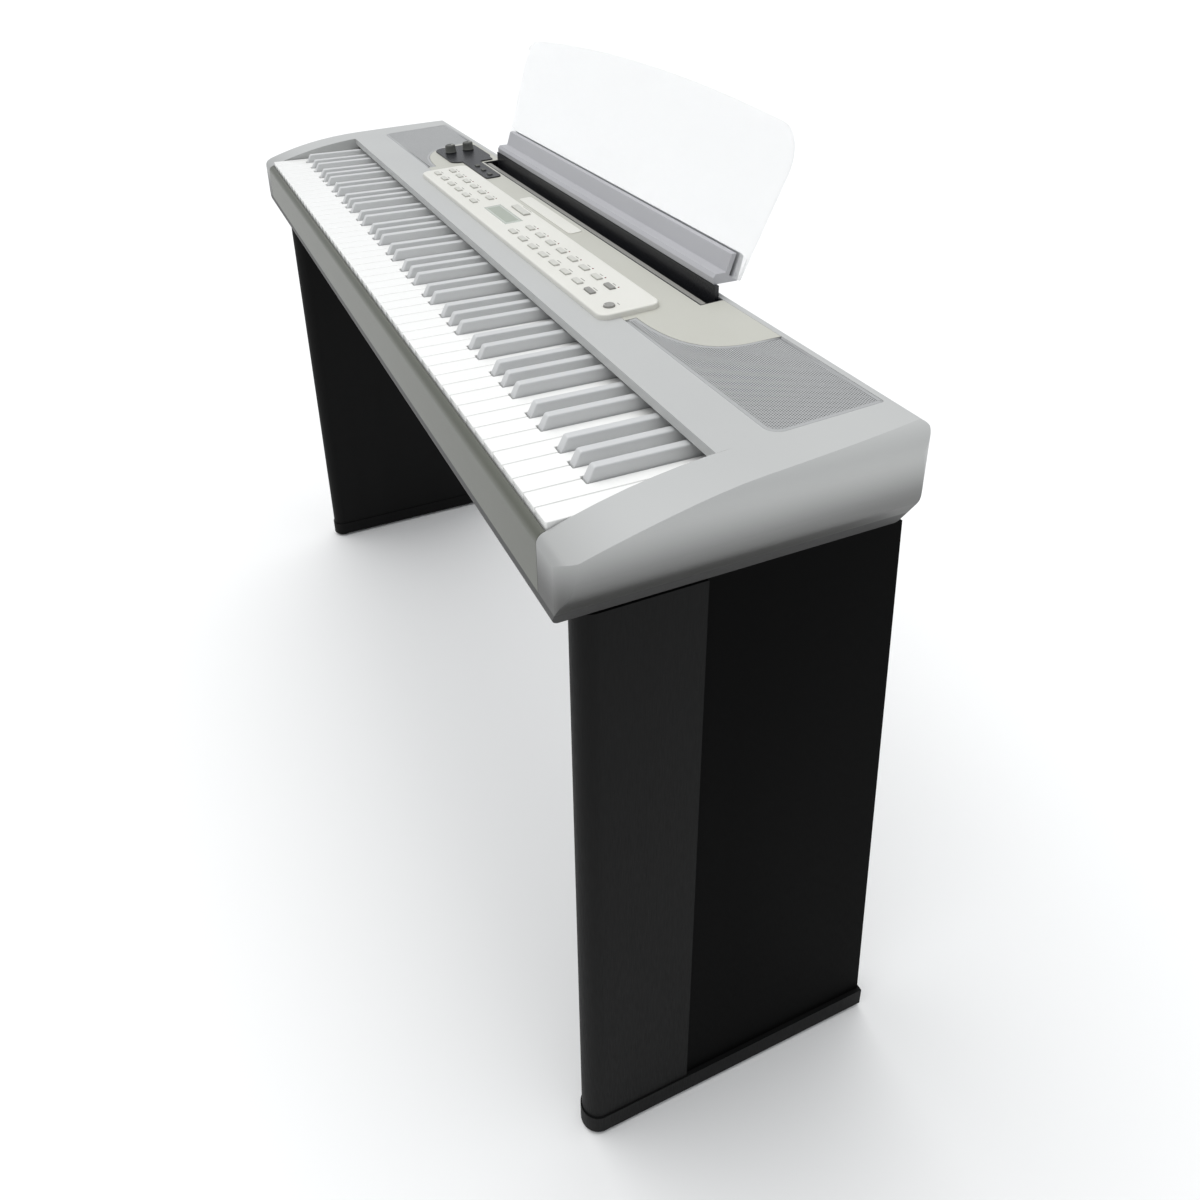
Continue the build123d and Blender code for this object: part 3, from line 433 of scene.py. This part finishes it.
def piece(name, shape, place, body, slot, stands_for=(), coat=None):
    """Makes a closed mesh whose faces point outwards, and hangs it on its body. Its finish is its
    slot's, unless a coat is named."""
    points, faces = shape
    mesh = bpy.data.meshes.new(name)
    mesh.from_pydata(place(points).tolist(), [], faces)
    work = bmesh.new()
    work.from_mesh(mesh)
    bmesh.ops.recalc_face_normals(work, faces=work.faces)
    work.to_mesh(mesh)
    work.free()
    mesh.polygons.foreach_set("use_smooth", np.ones(len(mesh.polygons), bool))
    mesh.materials.append(FINISH[coat or slot])
    obj = bpy.data.objects.new(name, mesh)
    bpy.context.collection.objects.link(obj)
    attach(obj, body)
    if stands_for:
        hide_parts(*stands_for)


print("key line at Y", round(KEY_LINE, 2), "mm, deck at", round(DECK_ZERO, 2), "mm above it")

# %% [markdown]
# ## White keys
# A white key is a long box with room cut out beside it for the short keys. What makes it read as a
# key is the soft edge all round its top, where the light catches, and the slightly rounder front
# corners that fingers meet. It could be a box with a Bevel modifier. Here the notched outline climbs
# through a ring list instead, which gives the same radius round every notch.

# %% White keys
PITCH, GAP, WHITE_COUNT = 23.5, 0.9, 52
KEY_FOOT, KEY_TOP, KEY_BACK = 717.0, BOARD_KEY_TOP, 228.0
NOTCH_FRONT, NOTCH_HALF = 49.5, 6.5
SHARP_AT = {"c": 0.93, "d": 2.07, "f": 3.87, "g": 5.0, "a": 6.13}
NAMES = "cdefgab"


def sharps(octave):
    """Middle of each short key of an octave, by the name of the white key before it. The lowest,
    broken octave has only its last one."""
    left = (2 + 7 * (octave - 1) - WHITE_COUNT / 2) * PITCH
    return {name: left + SHARP_AT[name] * PITCH for name in (SHARP_AT if octave else "a")}


SHARP_X = np.array([x for octave in range(8) for x in sharps(octave).values()])


def white_key(index):
    """The key's outline, from its front left corner round to its back left one, with a step in
    from the side wherever a short key stands, carried up through soft rings."""
    middle, half = (index - (WHITE_COUNT - 1) / 2) * PITCH, (PITCH - GAP) / 2
    left, right = middle - half, middle + half
    outline, radii = [(left, 0), (right, 0)], [1.6, 1.6]
    after = SHARP_X[(SHARP_X > middle) & (SHARP_X - NOTCH_HALF < right)]
    before = SHARP_X[(SHARP_X < middle) & (SHARP_X + NOTCH_HALF > left)]
    if len(after):
        inner = after[0] - NOTCH_HALF
        outline += [(right, NOTCH_FRONT), (inner, NOTCH_FRONT), (inner, KEY_BACK)]
        radii += [1.4, 0.8, 1.2]
    else:
        outline, radii = outline + [(right, KEY_BACK)], radii + [1.2]
    if len(before):
        inner = before[0] + NOTCH_HALF
        outline += [(inner, KEY_BACK), (inner, NOTCH_FRONT), (left, NOTCH_FRONT)]
        radii += [1.2, 0.8, 1.4]
    else:
        outline, radii = outline + [(left, KEY_BACK)], radii + [1.2]
    return climb(rounded_outline(outline, radii), soft_rings(KEY_FOOT, KEY_TOP, 0.9))


OCTAVES = {octave: list(range(7 * octave - 5, 7 * octave + 2)) for octave in range(1, 8)}
OCTAVES[1] = [0, 1] + OCTAVES[1]
OCTAVES[7] += [WHITE_COUNT - 1]
for octave, indices in OCTAVES.items():
    if octave == 4:
        for name, index in zip(NAMES, indices):
            node = f"key_{name}_4"
            piece(f"white_{name}_4", white_key(index), level, node, "key_white", [node])
    else:
        node = f"white_keys_{octave}"
        piece(f"whites_{octave}", together(map(white_key, indices)), level, node,
              "key_white", [node])
print("white keys:", sum(map(len, OCTAVES.values())))

# %% [markdown]
# ## Short keys
# A short key is a bar with leaning sides, a gently crowned top and a nose that slopes down to the
# white keys. Its section changes along its length, so it is a loft: at each station the height comes
# first, then a section of that height. The nose meets the top in a smooth bend, not a crease.

# %% Short keys
SHARP_FRONT, SHARP_TOP, SHARP_WAIST = 51.0, 749.0, 736.0
SHARP_FOOT_HALF, SHARP_TOP_HALF = 5.5, 4.7
NOSE_SLOPE, NOSE_BEND = 2.0, 0.7
CAP_END, TAIL_TOP = 166.0, 738.0


def sharp_key(x):
    """Height along Y: the smooth lesser of a line that climbs NOSE_SLOPE and the flat top, then a
    low tail. Section: foot, straight wall to the waist, leaning side, a quarter circle, a crown.
    The nose is a little narrower, by an exponential that dies away over a millimetre."""
    y = np.concatenate([
        SHARP_FRONT + np.array([0, 0.3, 0.8, 1.5, 2.5, 3.5, 4.5, 5.5, 6.2, 7, 8, 10, 14, 60]),
        [CAP_END - 2, CAP_END - 0.5, CAP_END, CAP_END + 0.3, KEY_BACK]])
    ramp = SHARP_WAIST + 0.2 + NOSE_SLOPE * (y - SHARP_FRONT)
    top = -NOSE_BEND * np.logaddexp(-ramp / NOSE_BEND, -SHARP_TOP / NOSE_BEND)
    top[-5:] = SHARP_TOP, SHARP_TOP - 0.8, SHARP_TOP - 3, TAIL_TOP, TAIL_TOP
    bend = np.clip(0.45 * (top - SHARP_WAIST), 0.05, 1.7)
    lean = np.clip((top - bend - SHARP_WAIST) / (SHARP_TOP - SHARP_WAIST), 0, 1)
    shoulder = SHARP_FOOT_HALF - (SHARP_FOOT_HALF - SHARP_TOP_HALF) * lean
    turn = np.linspace(0, np.pi / 2, 5)
    across = np.concatenate([
        np.tile([0, SHARP_FOOT_HALF - 0.3, SHARP_FOOT_HALF, SHARP_FOOT_HALF], (len(y), 1)),
        (shoulder - bend)[:, None] + bend[:, None] * np.cos(turn),
        ((shoulder - bend) * 0.5)[:, None]], 1)
    height = np.concatenate([
        np.tile([KEY_FOOT, KEY_FOOT, KEY_FOOT + 0.3, SHARP_WAIST], (len(y), 1)),
        (top - bend)[:, None] + bend[:, None] * np.sin(turn), (top + 0.08)[:, None]], 1)
    across = np.concatenate([across, np.zeros((len(y), 1)), -across[:, :0:-1]], 1)
    height = np.concatenate([height, (top + 0.1)[:, None], height[:, :0:-1]], 1)
    across *= (1 - 0.2 * np.exp(-(y - SHARP_FRONT) / 1.0))[:, None]
    sections, count = across.shape
    points = np.stack([x + across, np.tile(y[:, None], (1, count)), height], 2).reshape(-1, 3)
    here = np.arange(count)
    step = (here + 1) % count
    low = np.arange(sections - 1)[:, None] * count
    quads = np.stack([low + here, low + step,
                      low + count + step, low + count + here], 2).reshape(-1, 4)
    return points, quads.tolist() + [here[::-1].tolist(), (here + (sections - 1) * count).tolist()]


for octave in range(1, 8):
    places = sharps(octave)
    if octave == 4:
        for name, x in places.items():
            node = f"key_{name}_sharp_4"
            piece(f"sharp_{name}_4", sharp_key(x), level, node, "key_grey", [node])
    else:
        node = f"black_keys_{octave}"
        xs = (list(sharps(0).values()) if octave == 1 else []) + list(places.values())
        piece(f"sharps_{octave}", together(map(sharp_key, xs)), level, node, "key_grey", [node])
print("short keys:", len(SHARP_X))

# %% [markdown]
# ## Speaker grilles
# Each end of the deck is a sheet of steel with staggered holes, held by a smooth rim. A sheet of
# holes is a lattice: every hole sits in a hexagonal cell, and the cells are all alike. So the cells'
# corners are worked out at once, corners that neighbours share are merged, and the outer edge of the
# lattice hides under the rim. Real holes are about 1.5 mm apart; these are coarser, so that they
# still show. Grey cloth behind the sheet keeps dust off the speaker.

# %% Perforated sheets
SWEEP = np.array([(345, 207), (413, 207), (455, 226), (456, 276)], float)  # the rim's inner bend
OPENING = ((-610.7, 610.7), (194.3, 303.7))
HOLE_PITCH, HOLE_RADIUS = 2.6, 0.85
SHEET_TOP, SHEET_THICK = -0.35, 0.8


def bezier(control, count=24):
    """Cubic curve: the four control points weighted by (1-t)^3, 3t(1-t)^2, 3t^2(1-t) and t^3."""
    t = np.linspace(0, 1, count)[:, None]
    return ((1 - t) ** 3 * control[0] + 3 * t * (1 - t) ** 2 * control[1]
            + 3 * t ** 2 * (1 - t) * control[2] + t ** 3 * control[3])


def grille_outline(side):
    """The right grille's outline, anticlockwise; the left one is its mirror image."""
    right, (front, back) = OPENING[0][1], OPENING[1]
    lower = rounded_outline([(345, front), (right, front), (right, back), (459, back)],
                            [0.6, 13.7, 2.7, 0.6], 7)
    outline = np.vstack([lower, bezier(SWEEP)[::-1]])
    return outline if side > 0 else outline[::-1] * [-1, 1]


def inside(points, outline):
    """Even-odd rule: a point is inside if a ray to its right crosses the outline an odd number of
    times."""
    x, y = points[:, 0, None], points[:, 1, None]
    (x0, y0), (x1, y1) = outline.T, np.roll(outline, -1, 0).T
    with np.errstate(divide="ignore", invalid="ignore"):
        crossing = ((y0 > y) != (y1 > y)) & (x < (x1 - x0) * (y - y0) / (y1 - y0) + x0)
    return crossing.sum(1) % 2 == 1


def perforated(outline):
    """Cells on staggered rows, sqrt(3)/2 of the pitch apart. Each cell has six corners on a circle
    of pitch / sqrt(3) and six hole corners on a smaller one. Top and bottom are rings of quads, the
    hole has six walls, and an edge that only one cell has gets an outer wall."""
    low, high = outline.min(0), outline.max(0)
    row = np.arange(int((high[1] - low[1]) / (HOLE_PITCH * math.sqrt(3) / 2)) + 1)
    column = np.arange(int((high[0] - low[0]) / HOLE_PITCH) + 1)
    x = low[0] + (column[None] + 0.5 * (row[:, None] % 2)) * HOLE_PITCH
    y = low[1] + np.broadcast_to(row[:, None], x.shape) * HOLE_PITCH * math.sqrt(3) / 2
    centre = np.stack([x, y], 2).reshape(-1, 2)
    turn = np.pi / 6 + np.arange(6) * np.pi / 3
    spoke = np.stack([np.cos(turn), np.sin(turn)], 1)
    reach = centre[:, None] + spoke * HOLE_PITCH
    centre = centre[inside(reach.reshape(-1, 2), outline).reshape(-1, 6).all(1)]
    cell = (centre[:, None] + spoke * HOLE_PITCH / math.sqrt(3)).reshape(-1, 2)
    hole = (centre[:, None] + spoke * HOLE_RADIUS).reshape(-1, 2)
    _, first, shared = np.unique(np.round(cell, 3), axis=0, return_index=True, return_inverse=True)
    flat = np.vstack([cell[first], hole])
    count = len(flat)
    points = np.vstack([np.column_stack([flat, np.full(count, h)])
                        for h in (SHEET_TOP, SHEET_TOP - SHEET_THICK)])
    corner = shared.reshape(-1, 6)
    rim = (len(first) + np.arange(len(hole))).reshape(-1, 6)
    next_corner, next_rim = np.roll(corner, -1, 1), np.roll(rim, -1, 1)
    top = np.stack([corner, next_corner, next_rim, rim], 2).reshape(-1, 4)
    wall = np.stack([rim, next_rim, next_rim + count, rim + count], 2).reshape(-1, 4)
    edge = np.stack([corner, next_corner], 2).reshape(-1, 2)
    _, place, times = np.unique(np.sort(edge, 1), axis=0, return_index=True, return_counts=True)
    outer = edge[place[times == 1]]
    skirt = np.column_stack([outer[:, ::-1], outer + count])
    return points, np.vstack([top, top[:, ::-1] + count, wall, skirt]).tolist()


RIM_RINGS = [(0, -3), (0, -0.4), (0.12, -0.12), (0.4, 0),
             (3.6, 0), (3.95, -0.12), (4.1, -0.45), (4.1, -3)]
for name, side in (("left", -1), ("right", 1)):
    outline = grille_outline(side)
    sheet = perforated(outline)
    piece(f"grille_sheet_{name}", sheet, sloped, "cabinet", "grille_grey", [f"grille_{name}"])
    rim = climb(outline, RIM_RINGS, hollow=True)
    piece(f"grille_rim_{name}", rim, sloped, "cabinet", "grille_grey")
    cloth = climb(outline, [(0.5, -2.6), (0.5, -1.9)])
    piece(f"grille_cloth_{name}", cloth, sloped, "cabinet", "grille_grey", coat="cloth_grey")
    print("grille", name, "has", (len(sheet[0]) // 2), "points a side")

# %% [markdown]
# ## The rest's trough
# The music rest plugs into a black channel. Inside it, along its front wall, lies a mid-grey strip
# with round ends.

# %% Strip along the trough
strip_x, strip_v = (-319.0, 349.0), (278.8, 287.0)
edge_strip = climb(box_outline(strip_x, strip_v, 4.0), soft_rings(-12.3, -1.6, 1.2, 0.2))
piece("trough_strip", edge_strip, sloped, "cabinet", "trim_black", coat="power_cap")
print("strip", strip_x[1] - strip_x[0], "mm long")

# %% [markdown]
# ## Button caps
# The caps of one bank are moulded as one comb: a strip under the panel's skin with caps that stand
# through it, so they move together. Each cap is a rounded bar. The last caps of the treble bank are
# darker, as they often are for start and stop.

# %% Button caps
PANEL_TOP, CAP_TOP, COMB_TOP = 6.0, 7.8, 3.7
CAP_SIZE, CAP_PITCH, CAP_ROWS = (18.0, 7.0), 33.0, (191.0, 214.0)
BANKS = {"left": (-290.0, 6), "right": (28.0, 8)}
DARK_FROM = 7  # caps from here on are dark in the right bank


def caps(side, columns):
    """Rounded bars at the given columns of a bank, in both rows."""
    left = BANKS[side][0]
    return [climb(box_outline((left + i * CAP_PITCH, left + i * CAP_PITCH + CAP_SIZE[0]),
                              (v - CAP_SIZE[1] / 2, v + CAP_SIZE[1] / 2), 1.6),
                  soft_rings(COMB_TOP - 0.5, CAP_TOP, 0.7)) for i in columns for v in CAP_ROWS]


for side, (left, count) in BANKS.items():
    right = left + (count - 1) * CAP_PITCH + CAP_SIZE[0]
    comb = climb(box_outline((left - 4, right + 4), (CAP_ROWS[0] - 7, CAP_ROWS[1] + 7), 2.0),
                 soft_rings(COMB_TOP - 1, COMB_TOP, 0.2, 0.2))
    pale = range(count if side == "left" else DARK_FROM)
    node = f"button_bank_{side}"
    piece(f"caps_{side}", together([comb] + caps(side, pale)), sloped, node, "cap_grey", [node])
dark_columns = range(DARK_FROM, BANKS["right"][1])
piece("caps_right_dark", together(caps("right", dark_columns)), sloped,
      "button_bank_right", "power_cap")
MIXER_CAP_X, MIXER_CAP_V = (-300.0, -272.0, -244.0), (256.0, 262.0)
mixer_caps = [climb(box_outline((x - 5, x + 5), MIXER_CAP_V, 1.4), soft_rings(-5, 3.8, 0.7))
              for x in MIXER_CAP_X]
piece("mixer_caps", together(mixer_caps), sloped, "mixer_buttons", "knob_dark", ["mixer_buttons"])
print("caps:", sum(2 * count for _, count in BANKS.values()), "and", len(mixer_caps))

# %% [markdown]
# ## Knobs and the power button
# A volume knob is turned on a lathe or moulded to look so: a body that tapers, ribs that fingers can
# grip, a rolled edge and a shallow dish on top. As a surface it is a radius that depends on the turn
# and on the height. A thin bar shows where it points.

# %% Knobs and power button
KNOB_X, KNOBS = -405.0, {"volume_knob": 250.0, "balance_knob": 279.0}
KNOB_RIBS, KNOB_POINTS = 24, 144


def knob(v):
    """Rings by (radius, height, rib depth). The radius at a turn is the ring's own, less the rib
    depth times a raised cosine of the turn times the number of ribs."""
    ring = np.array([(3.0, -11, 0), (3.0, 2.5, 0), (8.7, 2.5, 0), (9.0, 2.8, 0), (9.0, 4.0, 0),
                     (8.7, 4.4, 0.1), (8.4, 5.0, 0.5), (8.0, 12.0, 0.5), (7.8, 13.2, 0.4),
                     (7.4, 14.0, 0.15), (6.8, 14.4, 0), (6.2, 14.5, 0), (5.6, 14.4, 0),
                     (4.6, 14.1, 0), (2.0, 14.0, 0)])
    turn = np.arange(KNOB_POINTS) * 2 * np.pi / KNOB_POINTS
    rib = 0.5 - 0.5 * np.cos(turn * KNOB_RIBS)
    radius = ring[:, :1] - ring[:, 2:] * rib
    lift = np.broadcast_to(ring[:, 1:2], radius.shape)
    points = np.stack([KNOB_X + radius * np.cos(turn),
                       v + radius * np.sin(turn), lift], 2).reshape(-1, 3)
    here = np.arange(KNOB_POINTS)
    step = (here + 1) % KNOB_POINTS
    low = np.arange(len(ring) - 1)[:, None] * KNOB_POINTS
    quads = np.stack([low + here, low + step, low + KNOB_POINTS + step, low + KNOB_POINTS + here], 2)
    ends = [here[::-1].tolist(), (here + (len(ring) - 1) * KNOB_POINTS).tolist()]
    return points, quads.reshape(-1, 4).tolist() + ends


for node, v in KNOBS.items():
    piece(node + "_body", knob(v), sloped, node, "knob_dark", [node])
    pointer = climb(box_outline((KNOB_X - 0.6, KNOB_X + 0.6), (v + 1.5, v + 7.2), 0.5),
                    soft_rings(13.9, 14.7, 0.2, 0.1))
    piece(node + "_pointer", pointer, sloped, node, "cap_grey")
POWER_PLACE, POWER_FLANGE = (316.0, 191.0), 7.4
power_profile = [(POWER_FLANGE, 2.7), (POWER_FLANGE, 3.7), (5.9, 3.7), (6.0, 3.8), (6.0, 7.5),
                 (5.8, 7.95), (5.4, 8.2), (4.9, 8.15), (4.2, 7.8), (3.9, 7.75)]
power_rings = [(POWER_FLANGE - radius, height) for radius, height in power_profile]
power_cap = climb(round_outline(*POWER_PLACE, POWER_FLANGE), power_rings)
piece("power_cap", power_cap, sloped, "power_button", "power_cap", ["power_button"])
print("knobs:", list(KNOBS), "ribs", KNOB_RIBS)

# %% [markdown]
# ## Display, prints and a pale strip
# The display's window lies flush in the panel over a grey-green liquid crystal, which is pale while
# it is off. Short printed bars stand above the caps in place of words, and small lamps show which
# voice is on. A blank pale strip lies between the panel and the music rest.

# %% Display, prints, lamps and strip
LCD_X, LCD_V = (-79.8, 3.8), (193.2, 216.8)
window = climb(box_outline(LCD_X, LCD_V, 1.5), soft_rings(4.4, 6.0, 0.25, 0.1))
piece("display_window", window, sloped, "cabinet", "display_lens", ["lcd_lens"])
cell = climb(box_outline((-74, -2), (196.5, 213.5), 0.8), soft_rings(5.9, 6.03, 0.03, 0.02))
piece("display_cell", cell, sloped, "cabinet", "display_lens", coat="display_cell")


def bar(x, v, length, width=1.1):
    """A printed bar, a twentieth of a millimetre thick, with round ends."""
    outline = box_outline((x - length / 2, x + length / 2), (v - width / 2, v + width / 2),
                          width * 0.45, 4)
    return climb(outline, soft_rings(PANEL_TOP - 0.2, PANEL_TOP + 0.05, 0.02, 0.02, 2))


PRINT_GAP = 7.2  # from the middle of a cap to its print and its lamp
bars, lamps = [], []
for side, (left, count) in BANKS.items():
    for i in range(count):
        x = left + i * CAP_PITCH + CAP_SIZE[0] / 2
        bars += [bar(x - 1.5, CAP_ROWS[0] + PRINT_GAP, 11), bar(x - 3, CAP_ROWS[1] + PRINT_GAP, 8)]
        lamps.append(climb(round_outline(x + 7.4, CAP_ROWS[1] + PRINT_GAP, 1.0, 16),
                           soft_rings(PANEL_TOP - 0.2, PANEL_TOP + 0.45, 0.3, 0.02)))
bars += [bar(-38, 239.3, 30, 0.8), bar(316, 201.5, 6)]
piece("panel_prints", together(bars), sloped, "cabinet", "panel_ivory", coat="print_grey")
piece("panel_lamps", together(lamps), sloped, "cabinet", "panel_ivory", coat="lamp_red")
strip = climb(box_outline((-105, 70), (252, 270), 4.0), soft_rings(-0.3, 1.0, 0.5, 0.1))
piece("pale_deck_strip", strip, sloped, "cabinet", "panel_ivory")
print("prints:", len(bars), "lamps:", len(lamps))

# %% [markdown]
# ## Sockets at the back
# Each socket is held by a nut on a thread. Seen from behind, a bright hexagon round a black hole is
# what tells a socket from a screw. A hexagon with a round hole is an outline that goes over from one
# shape to the other: its corners and the circle's points are taken at the same turns.

# %% Socket nuts
JACK_X, JACK_Z = (-540.0, -515.0, -490.0, -465.0), 700.0


def nut(x, z, flat=6.9, bore=5.6, back=311.0, face=312.6, count=48):
    """Hexagon of half width flat, whose radius at a turn is flat over the cosine of the turn from
    the middle of its side; the hole is a circle. Four rings: outer and inner, back and face."""
    turn = np.arange(count) * 2 * np.pi / count
    hexagon = flat / np.cos((turn + np.pi / 6) % (np.pi / 3) - np.pi / 6)
    circle = np.full(count, bore)
    rings = [(hexagon, back), (hexagon, face - 0.3), (np.minimum(hexagon, flat * 1.06) - 0.2, face),
             (circle + 0.3, face), (circle, face - 0.3), (circle, back)]
    points = np.vstack([np.stack([x + r * np.cos(turn), np.full(count, y), z + r * np.sin(turn)], 1)
                        for r, y in rings])
    here, levels = np.arange(count), len(rings)
    step = (here + 1) % count
    low = np.arange(levels)[:, None] * count
    high = (low + count) % (levels * count)
    quads = np.stack([low + here, low + step, high + step, high + here], 2)
    return points, quads.reshape(-1, 4).tolist()


piece("socket_nuts", together([nut(x, JACK_Z) for x in JACK_X]), level, "cabinet", "steel")
print("nuts:", len(JACK_X))
